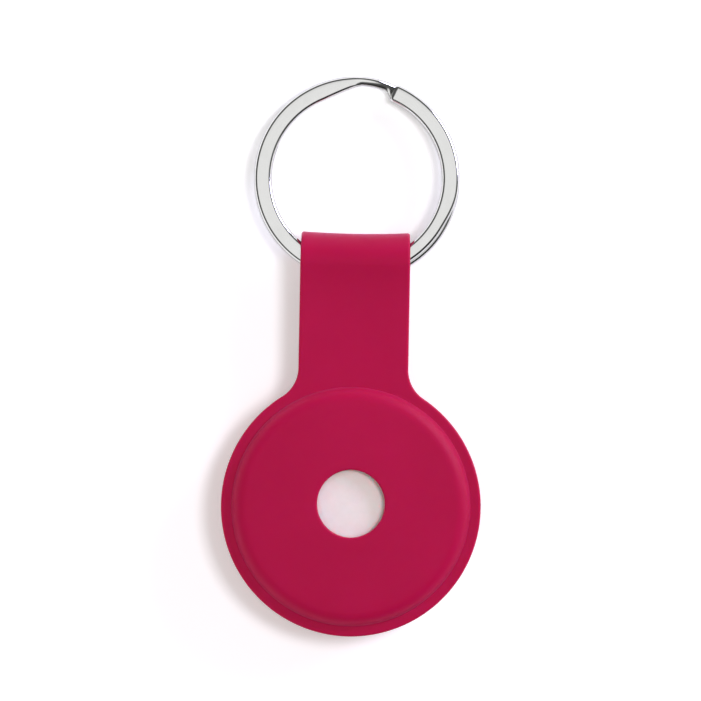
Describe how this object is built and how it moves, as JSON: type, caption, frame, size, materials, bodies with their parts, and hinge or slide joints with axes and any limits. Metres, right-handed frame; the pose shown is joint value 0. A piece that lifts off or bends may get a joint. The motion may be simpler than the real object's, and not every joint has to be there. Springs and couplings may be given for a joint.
{
  "type": "tracker tag holder",
  "caption": "Folded silicone holder with a round domed pocket for a coin-shaped tracker tag, its strap looped over a split key ring, with the tag inside.",
  "frame": {"origin": "on the axis of the round pocket, in the plane of the flat rear face that the holder lies on", "axes": "+Z out of the front window, +Y along the strap towards the key ring, +X to the right seen from the front"},
  "size_m": [0.0378, 0.0816, 0.0109],
  "materials": {
    "silicone": "soft matte moulded silicone",
    "ring_plating": "bright nickel plate on steel strip",
    "tag_white": "gloss white",
    "cover_steel": "polished stainless steel",
    "cell_steel": "satin nickel",
    "cell_gasket": "matte",
    "board": "solder mask",
    "chips": "tinned shield cans",
    "magnet": "nickel plate",
    "copper": "enamelled copper winding",
    "contact_brass": "gold flash on spring brass"
  },
  "bodies": {
    "rear": {"rear_leaf": "silicone"},
    "front": {"front_leaf": "silicone"},
    "ring": {"split_ring": "ring_plating"},
    "tag": {"tag_cap": "tag_white", "tag_chassis": "tag_white", "coin_cell_can": "cell_steel", "coin_cell_gasket": "cell_gasket", "coin_cell_cap": "cell_steel", "tag_circuit_board": "board", "tag_radio_chip": "chips", "tag_motion_chip": "chips", "tag_sound_chip": "chips", "tag_speaker_magnet": "magnet", "tag_voice_coil": "copper", "tag_negative_contact": "contact_brass", "tag_positive_contact_right": "contact_brass", "tag_positive_contact_left": "contact_brass"},
    "battery_cover": {"tag_battery_cover": "cover_steel"}
  },
  "joints": [
    {"name": "front_open", "type": "hinge", "parent": "rear", "child": "front", "pos_m": [0, 0.0349, 0.00913], "axis": [-1, 0, 0], "range_deg": [0, 120]},
    {"name": "ring_swing", "type": "hinge", "parent": "rear", "child": "ring", "pos_m": [0, 0.03565, 0.0049], "axis": [1, 0, 0], "range_deg": [-125, 45]},
    {"name": "tag_lift", "type": "slide", "parent": "rear", "child": "tag", "axis": [0, 0, 1], "range_m": [0, 0.008]},
    {"name": "cover_twist", "type": "hinge", "parent": "tag", "child": "battery_cover", "pos_m": [0, 0, 0.0015], "axis": [0, 0, -1], "range_deg": [0, 40]}
  ],
  "couplings": [
    {"joint": "tag_lift", "follows": "front_open", "m_per_rad": 0.0038}
  ]
}
